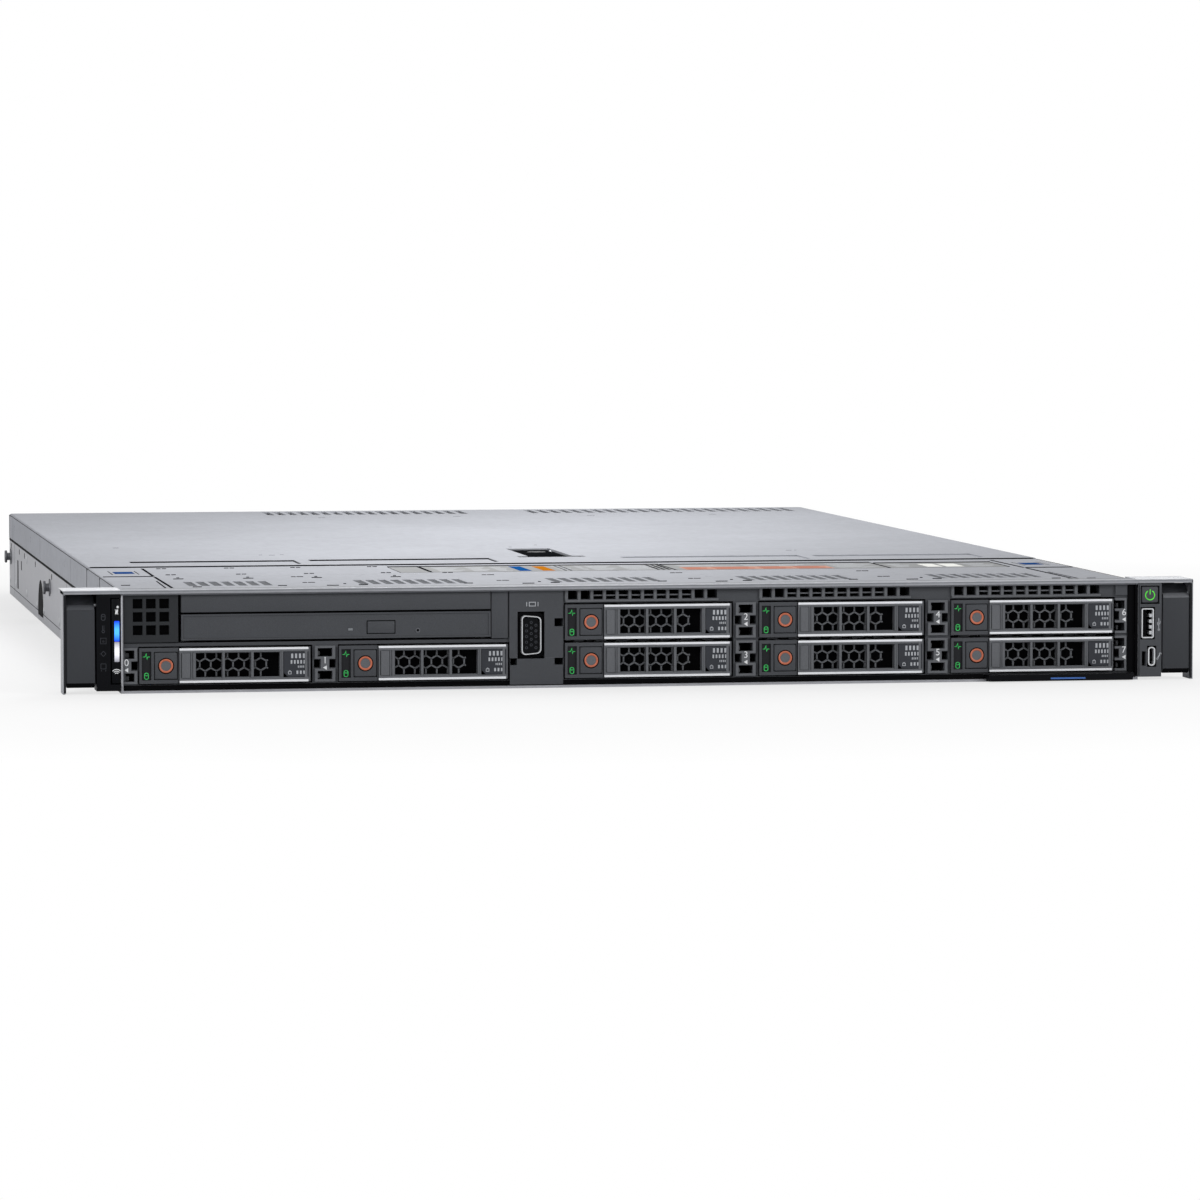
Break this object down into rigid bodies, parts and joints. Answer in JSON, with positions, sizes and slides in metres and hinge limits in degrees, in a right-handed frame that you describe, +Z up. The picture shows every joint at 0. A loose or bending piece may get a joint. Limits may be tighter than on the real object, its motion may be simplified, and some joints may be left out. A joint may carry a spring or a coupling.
{
  "type": "1u rack server",
  "caption": "Flat one-unit rack server: steel case with vented lift-off cover, latching drive carriers, disc tray, ear latches, fans and slide-out power supply.",
  "frame": {"origin": "middle of the footprint, on the underside: X and Y at the middle of the overall box, Z at the bottom of the case", "axes": "+Z up, +Y from the front to the rear, +X to the right of someone who faces the front"},
  "size_m": [0.482, 0.7186, 0.0428],
  "materials": {
    "case_steel": "bare galvanised sheet, satin",
    "cover_steel": "bare galvanised sheet, satin",
    "ear_steel": "satin",
    "stud_steel": "turned, bright",
    "port_steel": "plated",
    "supply_steel": "galvanised sheet",
    "dark_plastic": "matte charcoal",
    "black_plastic": "matte black",
    "latch_plastic": "matte terracotta",
    "light_bar": "smooth, part lit",
    "disk_aluminium": "cast and pressed",
    "handle_aluminium": "satin",
    "heatsink": "plain fins",
    "board": "solder mask",
    "memory_board": "solder mask"
  },
  "bodies": {
    "chassis": {"chassis_base": "case_steel", "rail_studs": "stud_steel", "front_top_panel": "cover_steel", "rack_ears": "ear_steel", "captive_screws": "stud_steel", "status_panel": "black_plastic", "control_panel": "black_plastic", "front_ports": "port_steel", "drive_bay_bezel": "dark_plastic", "drive_cage": "case_steel", "front_fillers": "dark_plastic", "optical_drive": "port_steel", "backplane": "board", "mainboard": "board", "memory_modules": "memory_board", "cpu_heatsink": "heatsink", "fan_frames": "black_plastic", "rear_ports": "port_steel", "rear_fillers": "case_steel"},
    "top_cover": {"top_cover": "cover_steel"},
    "cover_latch": {"cover_latch": "dark_plastic"},
    "backplane_cover": {"backplane_cover": "cover_steel"},
    "left_ear_latch": {"left_ear_latch": "black_plastic"},
    "right_ear_latch": {"right_ear_latch": "black_plastic"},
    "id_button": {"id_button": "light_bar"},
    "power_button": {"power_button": "dark_plastic"},
    "optical_tray": {"optical_tray": "dark_plastic"},
    "eject_button": {"eject_button": "dark_plastic"},
    "information_tag": {"information_tag": "black_plastic"},
    "power_supply": {"power_supply": "supply_steel"},
    "psu_latch": {"psu_latch": "latch_plastic"},
    "psu_fan_rotor": {"psu_fan_rotor": "black_plastic"},
    "fan_rotor_1": {"fan_rotor_1": "black_plastic"},
    "fan_rotor_2": {"fan_rotor_2": "black_plastic"},
    "fan_rotor_3": {"fan_rotor_3": "black_plastic"},
    "fan_rotor_4": {"fan_rotor_4": "black_plastic"},
    "drive_0_carrier": {"drive_0_carrier": "disk_aluminium"},
    "drive_0_handle": {"drive_0_handle": "handle_aluminium"},
    "drive_0_button": {"drive_0_button": "dark_plastic"},
    "drive_1_carrier": {"drive_1_carrier": "disk_aluminium"},
    "drive_1_handle": {"drive_1_handle": "handle_aluminium"},
    "drive_1_button": {"drive_1_button": "dark_plastic"},
    "drive_2_carrier": {"drive_2_carrier": "disk_aluminium"},
    "drive_2_handle": {"drive_2_handle": "handle_aluminium"},
    "drive_2_button": {"drive_2_button": "dark_plastic"},
    "drive_3_carrier": {"drive_3_carrier": "disk_aluminium"},
    "drive_3_handle": {"drive_3_handle": "handle_aluminium"},
    "drive_3_button": {"drive_3_button": "dark_plastic"},
    "drive_4_carrier": {"drive_4_carrier": "disk_aluminium"},
    "drive_4_handle": {"drive_4_handle": "handle_aluminium"},
    "drive_4_button": {"drive_4_button": "dark_plastic"},
    "drive_5_carrier": {"drive_5_carrier": "disk_aluminium"},
    "drive_5_handle": {"drive_5_handle": "handle_aluminium"},
    "drive_5_button": {"drive_5_button": "dark_plastic"},
    "drive_6_carrier": {"drive_6_carrier": "disk_aluminium"},
    "drive_6_handle": {"drive_6_handle": "handle_aluminium"},
    "drive_6_button": {"drive_6_button": "dark_plastic"},
    "drive_7_carrier": {"drive_7_carrier": "disk_aluminium"},
    "drive_7_handle": {"drive_7_handle": "handle_aluminium"},
    "drive_7_button": {"drive_7_button": "dark_plastic"}
  },
  "joints": [
    {"name": "top_cover_slide", "type": "slide", "parent": "chassis", "child": "top_cover", "axis": [0, 0.2224, 0.975], "range_m": [0, 0.12]},
    {"name": "cover_latch_hinge", "type": "hinge", "parent": "top_cover", "child": "cover_latch", "pos_m": [0, -0.0738, 0.0408], "axis": [-1, 0, 0], "range_deg": [0, 85]},
    {"name": "backplane_cover_lift", "type": "slide", "parent": "chassis", "child": "backplane_cover", "axis": [0, 0, 1], "range_m": [0, 0.08]},
    {"name": "left_ear_latch_hinge", "type": "hinge", "parent": "chassis", "child": "left_ear_latch", "pos_m": [-0.234, -0.3498, 0.0365], "axis": [-1, 0, 0], "range_deg": [0, 30], "stiffness_Nm_per_rad": 0.05},
    {"name": "right_ear_latch_hinge", "type": "hinge", "parent": "chassis", "child": "right_ear_latch", "pos_m": [0.234, -0.3498, 0.0365], "axis": [-1, 0, 0], "range_deg": [0, 30], "stiffness_Nm_per_rad": 0.05},
    {"name": "id_button_press", "type": "slide", "parent": "chassis", "child": "id_button", "axis": [0, 1, 0], "range_m": [0, 0.001], "stiffness_N_per_m": 300},
    {"name": "power_button_press", "type": "slide", "parent": "chassis", "child": "power_button", "axis": [0, 1, 0], "range_m": [0, 0.001], "stiffness_N_per_m": 300},
    {"name": "optical_tray_slide", "type": "slide", "parent": "chassis", "child": "optical_tray", "axis": [0, -1, 0], "range_m": [0, 0.124]},
    {"name": "eject_button_press", "type": "slide", "parent": "optical_tray", "child": "eject_button", "axis": [0, 1, 0], "range_m": [0, 0.0006], "stiffness_N_per_m": 300},
    {"name": "information_tag_slide", "type": "slide", "parent": "chassis", "child": "information_tag", "axis": [0, -1, 0], "range_m": [0, 0.06]},
    {"name": "power_supply_slide", "type": "slide", "parent": "chassis", "child": "power_supply", "axis": [0, 1, 0], "range_m": [0, 0.18]},
    {"name": "psu_latch_hinge", "type": "hinge", "parent": "power_supply", "child": "psu_latch", "pos_m": [-0.081, 0.32825, 0.033], "axis": [0, 0, 1], "range_deg": [0, 8], "stiffness_Nm_per_rad": 0.05},
    {"name": "psu_fan_spin", "type": "hinge", "parent": "power_supply", "child": "psu_fan_rotor", "pos_m": [-0.0623, 0.31395, 0.0209], "axis": [0, 1, 0], "continuous": true},
    {"name": "fan_1_spin", "type": "hinge", "parent": "chassis", "child": "fan_rotor_1", "pos_m": [-0.07, -0.1603, 0.0213], "axis": [0, 1, 0], "continuous": true},
    {"name": "fan_2_spin", "type": "hinge", "parent": "chassis", "child": "fan_rotor_2", "pos_m": [-0.01, -0.1603, 0.0213], "axis": [0, 1, 0], "continuous": true},
    {"name": "fan_3_spin", "type": "hinge", "parent": "chassis", "child": "fan_rotor_3", "pos_m": [0.05, -0.1603, 0.0213], "axis": [0, 1, 0], "continuous": true},
    {"name": "fan_4_spin", "type": "hinge", "parent": "chassis", "child": "fan_rotor_4", "pos_m": [0.11, -0.1603, 0.0213], "axis": [0, 1, 0], "continuous": true},
    {"name": "drive_0_slide", "type": "slide", "parent": "chassis", "child": "drive_0_carrier", "axis": [0, -1, 0], "range_m": [0, 0.105]},
    {"name": "drive_0_handle_hinge", "type": "hinge", "parent": "drive_0_carrier", "child": "drive_0_handle", "pos_m": [-0.1406, -0.3516, 0.01125], "axis": [0, 0, 1], "range_deg": [0, 60]},
    {"name": "drive_0_button_press", "type": "slide", "parent": "drive_0_carrier", "child": "drive_0_button", "axis": [0, 1, 0], "range_m": [0, 0.001], "stiffness_N_per_m": 300},
    {"name": "drive_1_slide", "type": "slide", "parent": "chassis", "child": "drive_1_carrier", "axis": [0, -1, 0], "range_m": [0, 0.105]},
    {"name": "drive_1_handle_hinge", "type": "hinge", "parent": "drive_1_carrier", "child": "drive_1_handle", "pos_m": [-0.0575, -0.3516, 0.01125], "axis": [0, 0, 1], "range_deg": [0, 60]},
    {"name": "drive_1_button_press", "type": "slide", "parent": "drive_1_carrier", "child": "drive_1_button", "axis": [0, 1, 0], "range_m": [0, 0.001], "stiffness_N_per_m": 300},
    {"name": "drive_2_slide", "type": "slide", "parent": "chassis", "child": "drive_2_carrier", "axis": [0, -1, 0], "range_m": [0, 0.105]},
    {"name": "drive_2_handle_hinge", "type": "hinge", "parent": "drive_2_carrier", "child": "drive_2_handle", "pos_m": [0.0379, -0.3516, 0.02735], "axis": [0, 0, 1], "range_deg": [0, 60]},
    {"name": "drive_2_button_press", "type": "slide", "parent": "drive_2_carrier", "child": "drive_2_button", "axis": [0, 1, 0], "range_m": [0, 0.001], "stiffness_N_per_m": 300},
    {"name": "drive_3_slide", "type": "slide", "parent": "chassis", "child": "drive_3_carrier", "axis": [0, -1, 0], "range_m": [0, 0.105]},
    {"name": "drive_3_handle_hinge", "type": "hinge", "parent": "drive_3_carrier", "child": "drive_3_handle", "pos_m": [0.0379, -0.3516, 0.01125], "axis": [0, 0, 1], "range_deg": [0, 60]},
    {"name": "drive_3_button_press", "type": "slide", "parent": "drive_3_carrier", "child": "drive_3_button", "axis": [0, 1, 0], "range_m": [0, 0.001], "stiffness_N_per_m": 300},
    {"name": "drive_4_slide", "type": "slide", "parent": "chassis", "child": "drive_4_carrier", "axis": [0, -1, 0], "range_m": [0, 0.105]},
    {"name": "drive_4_handle_hinge", "type": "hinge", "parent": "drive_4_carrier", "child": "drive_4_handle", "pos_m": [0.121, -0.3516, 0.02735], "axis": [0, 0, 1], "range_deg": [0, 60]},
    {"name": "drive_4_button_press", "type": "slide", "parent": "drive_4_carrier", "child": "drive_4_button", "axis": [0, 1, 0], "range_m": [0, 0.001], "stiffness_N_per_m": 300},
    {"name": "drive_5_slide", "type": "slide", "parent": "chassis", "child": "drive_5_carrier", "axis": [0, -1, 0], "range_m": [0, 0.105]},
    {"name": "drive_5_handle_hinge", "type": "hinge", "parent": "drive_5_carrier", "child": "drive_5_handle", "pos_m": [0.121, -0.3516, 0.01125], "axis": [0, 0, 1], "range_deg": [0, 60]},
    {"name": "drive_5_button_press", "type": "slide", "parent": "drive_5_carrier", "child": "drive_5_button", "axis": [0, 1, 0], "range_m": [0, 0.001], "stiffness_N_per_m": 300},
    {"name": "drive_6_slide", "type": "slide", "parent": "chassis", "child": "drive_6_carrier", "axis": [0, -1, 0], "range_m": [0, 0.105]},
    {"name": "drive_6_handle_hinge", "type": "hinge", "parent": "drive_6_carrier", "child": "drive_6_handle", "pos_m": [0.2041, -0.3516, 0.02735], "axis": [0, 0, 1], "range_deg": [0, 60]},
    {"name": "drive_6_button_press", "type": "slide", "parent": "drive_6_carrier", "child": "drive_6_button", "axis": [0, 1, 0], "range_m": [0, 0.001], "stiffness_N_per_m": 300},
    {"name": "drive_7_slide", "type": "slide", "parent": "chassis", "child": "drive_7_carrier", "axis": [0, -1, 0], "range_m": [0, 0.105]},
    {"name": "drive_7_handle_hinge", "type": "hinge", "parent": "drive_7_carrier", "child": "drive_7_handle", "pos_m": [0.2041, -0.3516, 0.01125], "axis": [0, 0, 1], "range_deg": [0, 60]},
    {"name": "drive_7_button_press", "type": "slide", "parent": "drive_7_carrier", "child": "drive_7_button", "axis": [0, 1, 0], "range_m": [0, 0.001], "stiffness_N_per_m": 300}
  ]
}
